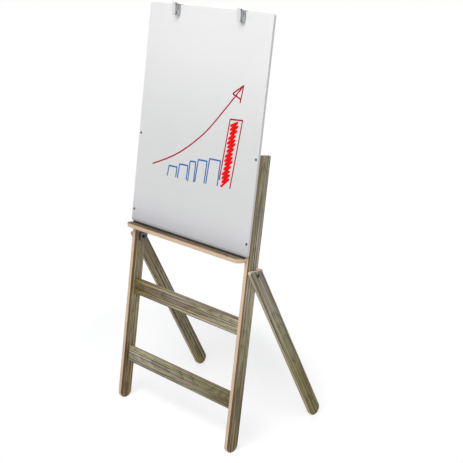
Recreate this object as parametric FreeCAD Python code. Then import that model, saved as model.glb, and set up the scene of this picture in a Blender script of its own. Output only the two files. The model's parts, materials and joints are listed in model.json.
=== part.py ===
# A child's standing easel: a leaning front frame that carries a dry-wipe board and a pen shelf,
# two rear legs that fold on their own pivot bolts, and two sprung paper clips on the board's top edge.
# Millimetres, +X to the easel's right as its user faces it, +Y to the back, +Z up, feet on Z = 0.
import FreeCAD, Part
import math
import os

V = FreeCAD.Vector

# Stance
leanDeg = 9.5              # front frame, from upright
splayDeg = 26.0            # rear legs when open, from upright

# Clearances
runningGap = 0.3           # between faces that pass each other
boreFit = 0.05             # round a pin, dowel, screw or tenon in its hole
glueGap = 0.5              # at the blind end of a hole
tangentGap = 0.02          # behind a seat on a leaning face

# Uprights
frameWide = 500.0          # over the outer faces of the two uprights
uprightThick = 12.0
uprightDeep = 42.0
uprightLong = 854.0
uprightTopRound = 2.0

# Rear legs
legThick = 12.0
legWide = 42.0
legTopRound = 6.4
legHead = 12.0             # from the pivot up to the leg's top end

# Rails between the uprights
railThick = 12.0
railHigh = 49.0
railSetback = 18.8         # behind the uprights' front edges
upperRailFoot = 341.0
lowerRailFoot = 122.0

# Stub tenons of the rails, in mortises of the uprights
tenonLong = 8.5
tenonThick = 6.0
tenonShoulder = 6.0        # of the rail above and below its tenon

# Board
boardOverhang = 2.0        # beyond each upright's outer face
boardHigh = 654.0
boardThick = 8.0
boardCornerRound = 8.0
boardFoot = 573.3          # along the uprights, where the board meets the shelf

# Board screws, countersunk
screwHeadDia = 8.0
screwHeadDeep = 2.6
screwDia = 4.0
screwLong = 32.0
screwSlotWide = 0.9
screwSlotDeep = 1.5
upperScrewDrop = 11.5      # below the uprights' top ends
lowerScrewRise = 37.0      # above the board's lower edge

# Pen shelf
shelfInset = 4.5           # of its ends from the uprights' outer faces
shelfDeep = 29.7           # in front of the uprights, at its top face
shelfThick = 14.0
shelfRightRound = 26.0
shelfLeftRound = 1.5
shelfGrooveWide = 5.5      # along the board's foot, keeps pens from rolling
shelfGrooveDeep = 3.0
shelfDowelDia = 4.0
shelfDowelLong = 28.0
shelfDowelInShelf = 9.0
shelfDowelInset = 3.2      # of their axes from the uprights' inner faces

# Pivot of each rear leg
pivotRise = 523.0          # along the upright
pivotDepth = 30.5          # behind the upright's front edge
boltDia = 6.0
boltHeadDia = 10.0
boltHeadHigh = 2.8
boltSocketWide = 4.0
boltSocketDeep = 2.0
boltEnd = 1.6              # beyond the nut
washerDia = 18.0
washerThick = 1.0
plateWide = 27.0           # front to back
plateHigh = 24.0
plateThick = 6.5
nutWide = 10.0
nutHigh = 5.0

# Stop block above each rear leg's top end
stopLong = 13.0
stopHigh = 8.0             # at its front end
stopRearHigh = 4.0
stopFrontRound = 4.0
stopRearRound = 1.5

# Paper clips
leftClipX = -124.0
rightClipX = 141.0
clipSheet = 1.5            # strip of the clip's body
clipBodyWide = 10.8
clipFrontLong = 18.0       # body strip in front of the board
clipRearLong = 22.0        # body strip behind the board
clipBendRound = 2.0
cheekThick = 1.2
cheekDeep = 11.0
cheekRise = 3.2
cheekFoot = -14.0
cheekSlope = 2.0
cheekRound = 2.0
leverSheet = 1.3
leverTopReach = 22.5       # lever's front face from the board, top end
leverFootReach = 19.3      # the same at its lower end
leverTop = 5.0
leverFoot = -29.5
fingerReach = 14.5         # rear edge of the finger part's flanges
fingerSlope = 2.0          # of their top edges, down to the back
fingerRound = 1.5
shoulderRise = -4.0
jawFoot = -30.5
jawLipHigh = 8.5
jawArmDeep = 10.5
notchTop = -19.0           # of the gap between the jaw's arms and the front face
notchLean = 2.0
notchRound = 3.0
clipEyeWall = 4.0          # of the flanges, behind the pin's axis
clipEyeRound = 2.0
clipPinReach = 7.5
clipPinRise = -10.0
clipPinDia = 3.0
clipPinHeadDia = 4.6
clipPinHeadHigh = 0.8
springWire = 1.1
springSlack = 0.1          # between close turns
springOuterDia = 6.6
springTurns = 4
springLegDrop = 7.0
springLegRise = 8.0
clipScrewDia = 2.9
clipScrewLong = 6.5
clipScrewHeadDia = 5.4
clipScrewHeadHigh = 1.8
clipScrewDrop = 13.0


lean = math.radians(leanDeg)
splay = math.radians(splayDeg)
opening = lean + splay
innerFace = frameWide / 2 - uprightThick
outerFace = frameWide / 2
boardWide = frameWide + 2 * boardOverhang
boardTop = boardFoot + boardHigh
shelfWide = frameWide - 2 * shelfInset


# --- Shapes -------------------------------------------------------------------------------

# A closed wire through points of one plane, each with the radius that rounds its corner.
def roundedWire(corners):
    turns = []
    for index, (corner, radius) in enumerate(corners):
        before = (corners[index - 1][0] - corner).normalize()
        after = (corners[(index + 1) % len(corners)][0] - corner).normalize()
        half = before.getAngle(after) / 2
        inward = (before + after).normalize()
        start = corner + before * (radius / math.tan(half))
        crown = corner + inward * (radius / math.sin(half) - radius)
        end = corner + after * (radius / math.tan(half))
        turns.append((start, crown, end, radius))
    edges = []
    for index, (start, crown, end, radius) in enumerate(turns):
        if radius > 0:
            edges.append(Part.Arc(start, crown, end).toShape())
        following = turns[(index + 1) % len(turns)][0]
        if (following - end).Length > 0.001:
            edges.append(Part.makeLine(end, following))
    return Part.Wire(edges)


# A plate of the outline (y, z, corner radius), from one X to another.
def slab(outline, xFrom, xTo):
    wire = roundedWire([(V(xFrom, y, z), radius) for y, z, radius in outline])
    return Part.Face(wire).extrude(V(xTo - xFrom, 0, 0))


# A round bar between two points.
def rod(diameter, start, end):
    along = end - start
    return Part.makeCylinder(diameter / 2, along.Length, start, along)


# A turned piece: (radius, height) points from its base centre, along an axis.
def turned(profile, base, axis):
    points = [V(radius, 0, height) for radius, height in profile]
    face = Part.Face(Part.makePolygon(points + points[:1]))
    piece = face.revolve(V(0, 0, 0), V(0, 0, 1), 360)
    piece.Placement = FreeCAD.Placement(base, FreeCAD.Rotation(V(0, 0, 1), axis))
    return piece


# A prism on a regular hexagon, from its base centre along an axis.
def hexPrism(acrossFlats, height, base, axis):
    radius = acrossFlats / math.sqrt(3)
    points = [V(radius * math.cos(math.radians(60 * k)), radius * math.sin(math.radians(60 * k)), 0)
              for k in range(6)]
    piece = Part.Face(Part.makePolygon(points + points[:1])).extrude(V(0, 0, height))
    piece.Placement = FreeCAD.Placement(base, FreeCAD.Rotation(V(0, 0, 1), axis))
    return piece


def placed(shape, placement):
    moved = shape.copy()
    moved.Placement = placement.multiply(moved.Placement)
    return moved


# --- Where the pieces stand ---------------------------------------------------------------

# The frame is drawn flat, X across, Y from the uprights' front edges back, Z along the uprights.
footRound = uprightDeep / 2
frameLift = footRound * (1 - math.cos(lean) + math.sin(lean))
frontEnd = footRound * (math.sin(lean) + math.cos(lean)) - footRound
pivotY = pivotRise * math.sin(lean) + pivotDepth * math.cos(lean)
pivotZ = frameLift + pivotRise * math.cos(lean) - pivotDepth * math.sin(lean)
legReach = (pivotZ - legWide / 2) / math.cos(splay)
rearEnd = pivotY + legReach * math.sin(splay) + legWide / 2
middleY = (frontEnd + rearEnd) / 2
frameStand = FreeCAD.Placement(V(0, -middleY, frameLift), FreeCAD.Rotation(V(1, 0, 0), -leanDeg))
# A rear leg is drawn hanging straight down from its pivot.
legStand = FreeCAD.Placement(V(0, pivotY - middleY, pivotZ), FreeCAD.Rotation(V(1, 0, 0), splayDeg))


# --- Fixings ------------------------------------------------------------------------------

boardScrewX = frameWide / 2 - uprightThick / 2
boardScrewSpots = [(side * boardScrewX, rise) for side in (-1, 1)
                   for rise in (uprightLong - upperScrewDrop, boardFoot + lowerScrewRise)]


# Countersunk screw, or with some spare the hole that it sits in.
def boardScrew(x, rise, spare):
    profile = [(0, 0),
               (screwHeadDia / 2 + spare, 0),
               (screwDia / 2 + spare, screwHeadDeep),
               (screwDia / 2 + spare, screwLong + spare),
               (0, screwLong + spare)]
    return turned(profile, V(x, -boardThick, rise), V(0, 1, 0))


def crossRecess(x, rise):
    across = screwHeadDia * 0.55
    arms = []
    for wide, high in ((across, screwSlotWide), (screwSlotWide, across)):
        arms.append(Part.makeBox(wide, screwSlotDeep, high,
                                 V(x - wide / 2, -boardThick, rise - high / 2)))
    return arms[0].fuse(arms[1])


# Tenon at one end of a rail, or with a fit and a gap the mortise that takes it.
def railTenon(side, railFoot, fit, gap):
    long = tenonLong + gap
    thick = tenonThick + 2 * fit
    high = railHigh - 2 * tenonShoulder + 2 * fit
    corner = V(side * (innerFace + long / 2) - long / 2,
               railSetback + (railThick - thick) / 2,
               railFoot + (railHigh - high) / 2)
    return Part.makeBox(long, thick, high, corner)


# The shelf lies level, so its dowels do too: they are drawn in the standing axes.
shelfZ = frameLift + boardFoot * math.cos(lean)
shelfBackY = boardFoot * math.sin(lean) - middleY
shelfMidZ = shelfZ - shelfThick / 2
shelfMidY = shelfBackY - shelfThick / 2 * math.tan(lean)
shelfDowelX = innerFace + shelfDowelInset


def shelfDowel(side, spare):
    start = V(side * shelfDowelX, shelfMidY - shelfDowelInShelf - spare, shelfMidZ)
    end = V(side * shelfDowelX, shelfMidY - shelfDowelInShelf + shelfDowelLong + spare, shelfMidZ)
    return rod(shelfDowelDia + (2 * boreFit if spare else 0), start, end)


legInner = outerFace + washerThick + runningGap
legOuter = legInner + legThick
stopFoot = pivotRise + legHead + runningGap
# The leg's top end meets the block's underside when open, and its front lower corner when folded.
stopFront = pivotDepth + (legHead + runningGap) * math.tan(opening / 2)
stopThick = washerThick + runningGap + legThick


def onPivot(x):
    return V(x, pivotDepth, pivotRise)


# Hole for a pivot bolt, through whatever lies between two distances from the middle of the easel.
def boltHole(side, xFrom, xTo):
    return rod(boltDia + 2 * boreFit, onPivot(side * (xFrom - 1)), onPivot(side * (xTo + 1)))


# --- Front frame --------------------------------------------------------------------------

def makeUpright(side):
    outline = [(0, 0, footRound),
               (uprightDeep, 0, footRound),
               (uprightDeep, uprightLong, uprightTopRound),
               (0, uprightLong, uprightTopRound)]
    upright = slab(outline, side * innerFace, side * outerFace)
    holes = [boltHole(side, innerFace, outerFace)]
    holes += [railTenon(side, railFoot, boreFit, glueGap) for railFoot in (upperRailFoot, lowerRailFoot)]
    holes += [boardScrew(x, rise, boreFit) for x, rise in boardScrewSpots if x * side > 0]
    upright = placed(upright.cut(holes), frameStand)
    return upright.cut(shelfDowel(side, glueGap))


def makeRail(railFoot):
    rail = Part.makeBox(2 * innerFace, railThick, railHigh, V(-innerFace, railSetback, railFoot))
    tenons = [railTenon(side, railFoot, 0, 0) for side in (-1, 1)]
    return placed(rail.fuse(tenons).removeSplitter(), frameStand)


def makeBoard():
    corners = [(-boardWide / 2, boardFoot), (boardWide / 2, boardFoot),
               (boardWide / 2, boardTop), (-boardWide / 2, boardTop)]
    wire = roundedWire([(V(x, -boardThick, z), boardCornerRound) for x, z in corners])
    board = Part.Face(wire).extrude(V(0, boardThick, 0))
    holes = [boardScrew(x, rise, boreFit) for x, rise in boardScrewSpots]
    holes += [clipScrew(clipX, boreFit) for clipX in (leftClipX, rightClipX)]
    return placed(board.cut(holes), frameStand)


# Level shelf: its back edge is planed to the uprights' lean, its right front corner is a quarter round.
def makeShelf():
    half = shelfWide / 2
    front = shelfBackY - shelfDeep
    back = shelfBackY + uprightDeep / 2
    corners = [(V(-half, front, shelfZ), shelfLeftRound), (V(half, front, shelfZ), shelfRightRound),
               (V(half, back, shelfZ), 0), (V(-half, back, shelfZ), 0)]
    shelf = Part.Face(roundedWire(corners)).extrude(V(0, 0, -shelfThick))
    behind = Part.makeBox(2 * frameWide, 3 * uprightDeep, 3 * uprightDeep,
                          V(-frameWide, -tangentGap, boardFoot - 1.5 * uprightDeep))
    shelf = shelf.cut(placed(behind, frameStand))
    grooveBack = shelfBackY - boardThick * math.cos(lean)
    groove = Part.makeBox(2 * shelfWide, shelfGrooveWide, 2 * shelfGrooveDeep,
                          V(-shelfWide, grooveBack - shelfGrooveWide, shelfZ - shelfGrooveDeep))
    return shelf.cut([groove] + [shelfDowel(side, glueGap) for side in (-1, 1)])


# --- Rear legs and their pivots -----------------------------------------------------------

def makeRearLeg(side):
    half = legWide / 2
    foot = -legReach - half

    # The top end is cut square to the upright, so that it seats along the stop block when open.
    def topEnd(across):
        return (legHead - across * math.sin(opening)) / math.cos(opening)

    outline = [(-half, foot, half),
               (half, foot, half),
               (half, topEnd(half), 0),
               (-half, topEnd(-half), legTopRound)]
    leg = slab(outline, side * legInner, side * legOuter)
    bore = rod(boltDia + 2 * boreFit, V(side * (legInner - 1), 0, 0), V(side * (legOuter + 1), 0, 0))
    return placed(leg.cut(bore), legStand)


# Bolt with a flat round head and a hexagon socket.
def makePivotBolt(side):
    headBase = legOuter + runningGap
    shankEnd = innerFace - plateThick - nutHigh - boltEnd
    head = [(0, shankEnd - headBase),
            (boltDia / 2, shankEnd - headBase),
            (boltDia / 2, 0),
            (boltHeadDia / 2, 0),
            (boltHeadDia / 2, boltHeadHigh),
            (0, boltHeadHigh)]
    outward = V(side, 0, 0)
    bolt = turned(head, onPivot(side * headBase), outward)
    socketBase = onPivot(side * (headBase + boltHeadHigh - boltSocketDeep))
    return placed(bolt.cut(hexPrism(boltSocketWide, boltSocketDeep, socketBase, outward)), frameStand)


def makeWasher(side):
    ring = rod(washerDia, onPivot(side * outerFace), onPivot(side * (outerFace + washerThick)))
    return placed(ring.cut(boltHole(side, outerFace, outerFace + washerThick)), frameStand)


def makePlate(side):
    front = innerFace - plateThick
    plate = Part.makeBox(plateThick, plateWide, plateHigh,
                         onPivot(side * (front + plateThick / 2)) - V(plateThick, plateWide, plateHigh) / 2)
    return placed(plate.cut(boltHole(side, front, innerFace)), frameStand)


def makeNut(side):
    base = innerFace - plateThick
    nut = hexPrism(nutWide, nutHigh, onPivot(side * base), V(-side, 0, 0))
    return placed(nut.cut(boltHole(side, base - nutHigh, base)), frameStand)


def makeStopBlock(side):
    outline = [(stopFront, stopFoot, 0),
               (stopFront + stopLong, stopFoot, 0),
               (stopFront + stopLong, stopFoot + stopRearHigh, stopRearRound),
               (stopFront, stopFoot + stopHigh, stopFrontRound)]
    return placed(slab(outline, side * outerFace, side * (outerFace + stopThick)), frameStand)


# --- Paper clips --------------------------------------------------------------------------

# A clip is drawn from the board's top front edge: reach is the distance in front of the board.
def onBoardTop(clipX):
    return FreeCAD.Placement(V(clipX, -boardThick, boardTop), FreeCAD.Rotation())


def clipPlacement(clipX):
    return frameStand.multiply(onBoardTop(clipX))


def clipSlab(outline, xFrom, xTo):
    return slab([(-reach, rise, radius) for reach, rise, radius in outline], xFrom, xTo)


leverHalf = clipBodyWide / 2 + runningGap + leverSheet


def clipPinHole(halfWide):
    ends = [V(x, -clipPinReach, clipPinRise) for x in (-halfWide - 1, halfWide + 1)]
    return rod(clipPinDia + 2 * boreFit, ends[0], ends[1])


def clipScrewShape(spare):
    profile = [(0, -clipScrewHeadHigh),
               (clipScrewHeadDia / 2, -clipScrewHeadHigh),
               (clipScrewHeadDia / 2, 0),
               (clipScrewDia / 2 + spare, 0),
               (clipScrewDia / 2 + spare, clipScrewLong + spare),
               (0, clipScrewLong + spare)]
    return turned(profile, V(0, boardThick + clipSheet, -clipScrewDrop), V(0, -1, 0))


# In the frame's flat axes, for the hole in the board.
def clipScrew(clipX, spare):
    return placed(clipScrewShape(spare), onBoardTop(clipX))


# Strip hooked over the board's top edge, with two cheeks that carry the pin in front.
def makeClipBody(clipX):
    t = clipSheet
    half = clipBodyWide / 2
    hook = [(0, 0, 0), (0, -clipFrontLong, 0), (t, -clipFrontLong, 0), (t, t, clipBendRound),
            (-boardThick - t, t, clipBendRound), (-boardThick - t, -clipRearLong, 0),
            (-boardThick, -clipRearLong, 0), (-boardThick, 0, 0)]
    cheek = [(t / 2, cheekFoot - cheekSlope, 0), (t / 2, 0, 0),
             (cheekDeep, cheekRise, cheekRound), (cheekDeep, cheekFoot, 0)]
    cheeks = [clipSlab(cheek, side * half, side * (half - cheekThick)) for side in (-1, 1)]
    body = clipSlab(hook, -half, half).fuse(cheeks).removeSplitter()
    return placed(body.cut([clipPinHole(half), clipScrewShape(boreFit)]), clipPlacement(clipX))


# Front face of the lever at a height, leaning in towards its foot.
def leverReach(rise):
    return leverFootReach + (leverTopReach - leverFootReach) * (rise - leverFoot) / (leverTop - leverFoot)


# Pressed channel: two flanges beside the cheeks, a front face, and a lip that holds the paper.
def makeClipLever(clipX):
    jaw = runningGap
    lipLean = (clipPinReach - clipEyeWall - jaw) * jawLipHigh / (clipPinRise - jawFoot)
    flange = [(leverReach(leverTop), leverTop, 0),
              (fingerReach, leverTop - fingerSlope, fingerRound),
              (fingerReach, shoulderRise, 0),
              (clipPinReach - clipEyeWall, shoulderRise, clipEyeRound),
              (clipPinReach - clipEyeWall, clipPinRise, 0),
              (jaw, jawFoot, 0),
              (jaw + jawArmDeep, jawFoot, 0),
              (jaw + jawArmDeep + notchLean, notchTop, notchRound),
              (leverReach(notchTop), notchTop, 0)]
    plate = [(leverReach(leverTop), leverTop, 0), (leverReach(leverTop) - leverSheet, leverTop, 0),
             (leverReach(leverFoot) - leverSheet, leverFoot, 0), (leverReach(leverFoot), leverFoot, 0)]
    lip = [(jaw, jawFoot, 0), (jaw + leverSheet, jawFoot, 0),
           (jaw + leverSheet + lipLean, jawFoot + jawLipHigh, 0), (jaw + lipLean, jawFoot + jawLipHigh, 0)]
    flanges = [clipSlab(flange, side * leverHalf, side * (leverHalf - leverSheet)) for side in (-1, 1)]
    webs = [clipSlab(web, -leverHalf, leverHalf) for web in (plate, lip)]
    lever = flanges[0].fuse(flanges[1:] + webs).removeSplitter()
    return placed(lever.cut(clipPinHole(leverHalf)), clipPlacement(clipX))


# Rivet pin with a thin head outside each flange of the lever.
def makeClipPin(clipX):
    end = leverHalf + runningGap
    pin = rod(clipPinDia, V(-end, -clipPinReach, clipPinRise), V(end, -clipPinReach, clipPinRise))
    for side in (-1, 1):
        base = V(side * end, -clipPinReach, clipPinRise)
        pin = pin.fuse(rod(clipPinHeadDia, base, base + V(side * clipPinHeadHigh, 0, 0)))
    return placed(pin.removeSplitter(), clipPlacement(clipX))


# Torsion spring: a sleeve of close turns round the pin, with one leg down to the clip's body
# and one up to the lever's face.
def makeClipSpring(clipX):
    pitch = springWire + springSlack
    end = springTurns * pitch / 2
    centre = V(0, -clipPinReach, clipPinRise)
    low, high = (centre + V(x, 0, 0) for x in (-end, end))
    coil = rod(springOuterDia, low, high).cut(rod(springOuterDia - 2 * pitch, low, high))
    mean = (springOuterDia - pitch) / 2
    rear = low + V(pitch / 2, mean, 0)
    rearEnd = V(rear.x, -(clipSheet + springWire / 2 + runningGap), clipPinRise - springLegDrop)
    front = high - V(pitch / 2, mean, 0)
    frontRise = clipPinRise + springLegRise
    frontEnd = V(front.x, -(leverReach(frontRise) - leverSheet - springWire), frontRise)
    spring = coil.fuse([rod(springWire, rear, rearEnd), rod(springWire, front, frontEnd)])
    return placed(spring.removeSplitter(), clipPlacement(clipX))


# --- Write the pieces ---------------------------------------------------------------------

sides = (("left", -1), ("right", 1))
clips = (("left", leftClipX), ("right", rightClipX))
nodes = {
    "writing_board": makeBoard(),
    "pen_shelf": makeShelf(),
    "upper_rail": makeRail(upperRailFoot),
    "lower_rail": makeRail(lowerRailFoot),
    "board_screws": Part.makeCompound([placed(boardScrew(x, rise, 0).cut(crossRecess(x, rise)), frameStand)
                                       for x, rise in boardScrewSpots]),
    "shelf_dowels": Part.makeCompound([shelfDowel(side, 0) for name, side in sides]),
    "stop_blocks": Part.makeCompound([makeStopBlock(side) for name, side in sides]),
    "pivot_washers": Part.makeCompound([makeWasher(side) for name, side in sides]),
    "pivot_plates": Part.makeCompound([makePlate(side) for name, side in sides]),
    "pivot_nuts": Part.makeCompound([makeNut(side) for name, side in sides]),
    "pivot_bolts": Part.makeCompound([makePivotBolt(side) for name, side in sides]),
    "clip_screws": Part.makeCompound([placed(clipScrew(clipX, 0), frameStand) for name, clipX in clips]),
}
for name, side in sides:
    nodes[name + "_upright"] = makeUpright(side)
    nodes[name + "_rear_leg"] = makeRearLeg(side)
for name, clipX in clips:
    nodes[name + "_clip_body"] = makeClipBody(clipX)
    nodes[name + "_clip_lever"] = makeClipLever(clipX)
    nodes[name + "_clip_pin"] = makeClipPin(clipX)
    nodes[name + "_clip_spring"] = makeClipSpring(clipX)

os.makedirs("parts", exist_ok=True)
for name, shape in nodes.items():
    shape.exportStep("parts/" + name + ".step")
    state = "valid" if shape.isValid() else "NOT VALID"
    print(name, len(shape.Solids), "solids", round(shape.Volume), "mm3", state)
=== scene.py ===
import bmesh
import bpy
import json
import math
from mathutils import Matrix, Vector


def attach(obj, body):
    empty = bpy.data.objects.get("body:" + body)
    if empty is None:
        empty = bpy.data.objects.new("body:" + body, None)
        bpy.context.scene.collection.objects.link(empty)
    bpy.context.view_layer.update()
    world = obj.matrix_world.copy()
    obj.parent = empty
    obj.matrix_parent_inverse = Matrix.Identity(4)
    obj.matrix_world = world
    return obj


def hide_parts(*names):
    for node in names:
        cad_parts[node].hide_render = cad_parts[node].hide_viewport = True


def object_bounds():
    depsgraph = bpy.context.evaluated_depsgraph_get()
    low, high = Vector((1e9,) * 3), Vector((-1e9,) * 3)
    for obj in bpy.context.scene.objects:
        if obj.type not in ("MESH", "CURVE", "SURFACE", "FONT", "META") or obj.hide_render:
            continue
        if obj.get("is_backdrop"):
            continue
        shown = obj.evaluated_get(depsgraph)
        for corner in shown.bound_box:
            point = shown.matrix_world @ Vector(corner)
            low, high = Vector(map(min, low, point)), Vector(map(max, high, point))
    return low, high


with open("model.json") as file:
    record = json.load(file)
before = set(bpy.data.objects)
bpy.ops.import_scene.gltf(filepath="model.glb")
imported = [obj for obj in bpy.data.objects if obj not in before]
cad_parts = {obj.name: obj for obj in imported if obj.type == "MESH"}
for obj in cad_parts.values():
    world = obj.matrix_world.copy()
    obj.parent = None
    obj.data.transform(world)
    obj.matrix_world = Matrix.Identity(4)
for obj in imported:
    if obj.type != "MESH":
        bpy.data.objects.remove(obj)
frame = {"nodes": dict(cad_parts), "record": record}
cadLow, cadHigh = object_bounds()
cadNodes = frame["nodes"]
bodies = frame["record"]["behaviour"]["bodies"]
bodyOf = {node: body for body, members in bodies.items() for node in members}
mm = 0.001
print("easel frame loaded,", len(cadNodes), "parts")


def shade(red, green, blue):  # a colour picked on screen, each 0 to 255
    def straight(value):
        value /= 255
        return value / 12.92 if value <= 0.04045 else ((value + 0.055) / 1.055) ** 2.4
    return (straight(red), straight(green), straight(blue), 1.0)


def restPlace(nodeName, turn=0.0):  # a part's own middle and size, measured square to its lean
    back = Matrix.Rotation(-turn, 3, "X")
    points = [back @ v.co for v in cadNodes[nodeName].data.vertices]
    low = Vector([min(p[i] for p in points) for i in range(3)])
    high = Vector([max(p[i] for p in points) for i in range(3)])
    middle = Matrix.Rotation(turn, 3, "X") @ ((low + high) / 2)
    return {"middle": middle, "turn": turn, "size": high - low}


def leanOf(nodeName, toward):  # turn about the width axis that stands the part's front face upright
    toward = Vector(toward).normalized()
    facing = [f for f in cadNodes[nodeName].data.polygons if f.normal.dot(toward) > 0.9]
    normal = max(facing, key=lambda f: f.area).normal
    return math.atan2(-normal.z, -normal.y)


frontLean = leanOf("writing_board", (0, -1, 0))
legLean = leanOf("left_rear_leg", (0, -1, -0.4))
boardPlace = restPlace("writing_board", frontLean)
boardAxes = Matrix.Rotation(frontLean, 3, "X")
print("front leans", round(math.degrees(-frontLean), 2), "degrees, rear legs", round(math.degrees(legLean), 2))


# short ways to wire a node tree
def newNode(tree, kind, feeds=None, **settings):
    node = tree.nodes.new(kind)
    for name, value in settings.items():
        setattr(node, name, value)
    for socket, value in (feeds or {}).items():
        if isinstance(value, bpy.types.NodeSocket):
            tree.links.new(value, node.inputs[socket])
        else:
            node.inputs[socket].default_value = value
    return node


def calc(tree, operation, *values):
    return newNode(tree, "ShaderNodeMath", dict(enumerate(values)), operation=operation).outputs[0]


def product(tree, *values):
    total = values[0]
    for value in values[1:]:
        total = calc(tree, "MULTIPLY", total, value)
    return total


def fade(tree, value, low, high, first=0.0, last=1.0):
    feeds = {0: value, 1: low, 2: high, 3: first, 4: last}
    return newNode(tree, "ShaderNodeMapRange", feeds, interpolation_type="SMOOTHSTEP").outputs[0]


def mixColour(tree, share, first, second, blend="MIX"):
    feeds = {0: share, 6: first, 7: second}
    return newNode(tree, "ShaderNodeMix", feeds, data_type="RGBA", blend_type=blend).outputs[2]


def grain(tree, *spots, detail=2.0, rough=0.5):  # noise at three coordinates, some given with their scale
    spots = [calc(tree, "MULTIPLY", *spot) if isinstance(spot, tuple) else spot for spot in spots]
    place = newNode(tree, "ShaderNodeCombineXYZ", dict(enumerate(spots))).outputs[0]
    feeds = {"Vector": place, "Scale": 1.0, "Detail": detail, "Roughness": rough}
    return newNode(tree, "ShaderNodeTexNoise", feeds).outputs[0]


def newMaterial(name, **constants):
    material = bpy.data.materials.new(name)
    material.use_nodes = True
    shader = material.node_tree.nodes["Principled BSDF"]
    for socket, value in constants.items():
        shader.inputs[socket.replace("_", " ")].default_value = value
    return material, material.node_tree, shader


def plainAxes(tree):  # object coordinates as they are
    spot = newNode(tree, "ShaderNodeTexCoord").outputs["Object"]
    return newNode(tree, "ShaderNodeSeparateXYZ", {0: spot}).outputs


def ownAxes(tree, place):  # object coordinates, centred on the part and turned to its lean
    spot = newNode(tree, "ShaderNodeTexCoord").outputs["Object"]
    feeds = {"Vector": spot, "Location": place["middle"], "Rotation": (place["turn"], 0, 0)}
    local = newNode(tree, "ShaderNodeMapping", feeds, vector_type="TEXTURE").outputs[0]
    return newNode(tree, "ShaderNodeSeparateXYZ", {0: local}).outputs


def addBump(tree, shader, height, strength, depth):
    bump = newNode(tree, "ShaderNodeBump", {"Height": height, "Strength": strength, "Distance": depth})
    tree.links.new(bump.outputs[0], shader.inputs["Normal"])


timberLook = {
    "brown": shade(128, 106, 80), "olive": shade(136, 128, 76), "grey": shade(160, 150, 132),
    "dark": shade(58, 50, 34), "light": shade(196, 186, 152), "weathered": shade(174, 162, 130),
    # the last colour here, near black, is painted shade for inside the pen groove
    "stain": shade(118, 84, 42), "spilt": shade(150, 112, 76), "grooveShade": shade(22, 20, 17),
    "veneer": 0.55 * mm,
    "rings": {"gap": 4.4 * mm, "sway": (0.044, -0.022), "depth": (0.110, 0.006), "ripple": 0.0045, "sharpness": 2.2},
    "streaks": {  # scale across, scale along, detail, roughness, shift
        "sway": (0.0, 1.3, 1.0, 0.5, 0.0),
        "depth": (0.0, 2.0, 1.0, 0.5, 4.0),
        "ripple": (110.0, 7.0, 2.0, 0.6, 8.0),
        "tone": (75.0, 2.4, 2.0, 0.5, 20.0),
        "bands": (190.0, 2.2, 2.0, 0.55, 31.0),
        "darks": (330.0, 2.0, 2.0, 0.5, 47.0),
        "lights": (360.0, 2.6, 2.0, 0.5, 53.0),
        "fibres": (1700.0, 45.0, 2.0, 0.6, 61.0),
    },
    "limits": {"tone": (0.43, 0.57), "bands": (0.44, 0.56), "darks": (0.475, 0.41), "lights": (0.53, 0.62)},
    "shares": {"bands": 0.66, "lateWood": 0.7, "darks": 0.9, "lights": 0.72, "edgeDarks": 0.6},
    "fibreLimits": (0.45, 0.3, 0.0, 0.55), "brownAbove": 0.9,
    # the rear share is for the painted shade beside the rear edge
    "bandShares": {"front": 0.85, "rear": 0.55},
    "coat": {"alongScale": 14.0, "acrossScale": 90.0, "limits": (0.35, 0.65), "spread": 0.16},
    "spill": {"scale": 30.0, "least": 2.0, "most": 2.2, "limits": (-0.5 * mm, 0.3 * mm), "share": 0.85},
    # painted shade inside the pen groove: where it starts at the front, back and floor, and its share
    "grooveShadeReach": {"front": (2.2 * mm, 0.8 * mm), "back": 0.5 * mm, "floor": (0.4 * mm, 0.2 * mm), "share": 0.97},
    "ageingPower": 2.3, "sideScale": 420.0, "seedShift": (7.3, 2.9), "roughness": (0.22, 0.44),
    "relief": {"fibres": 0.6, "lateWood": -0.35, "endTone": 0.3, "strength": 0.35, "depth": 0.25 * mm},
}
plyLook = {
    "long": shade(226, 205, 182), "longDark": shade(202, 176, 150),
    "end": shade(218, 188, 156), "endDark": shade(188, 152, 118), "glue": shade(158, 112, 74),
    "plies": 5, "glueLine": 0.05, "endShare": 0.7, "glueShare": 0.8,
    "acrossScale": 1500.0, "longScale": 16.0, "endScale": 520.0, "blotchScale": 7.0,
    "limits": (0.35, 0.7), "blotchLimits": (0.4, 0.75, 0.0, 0.35),
}


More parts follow.
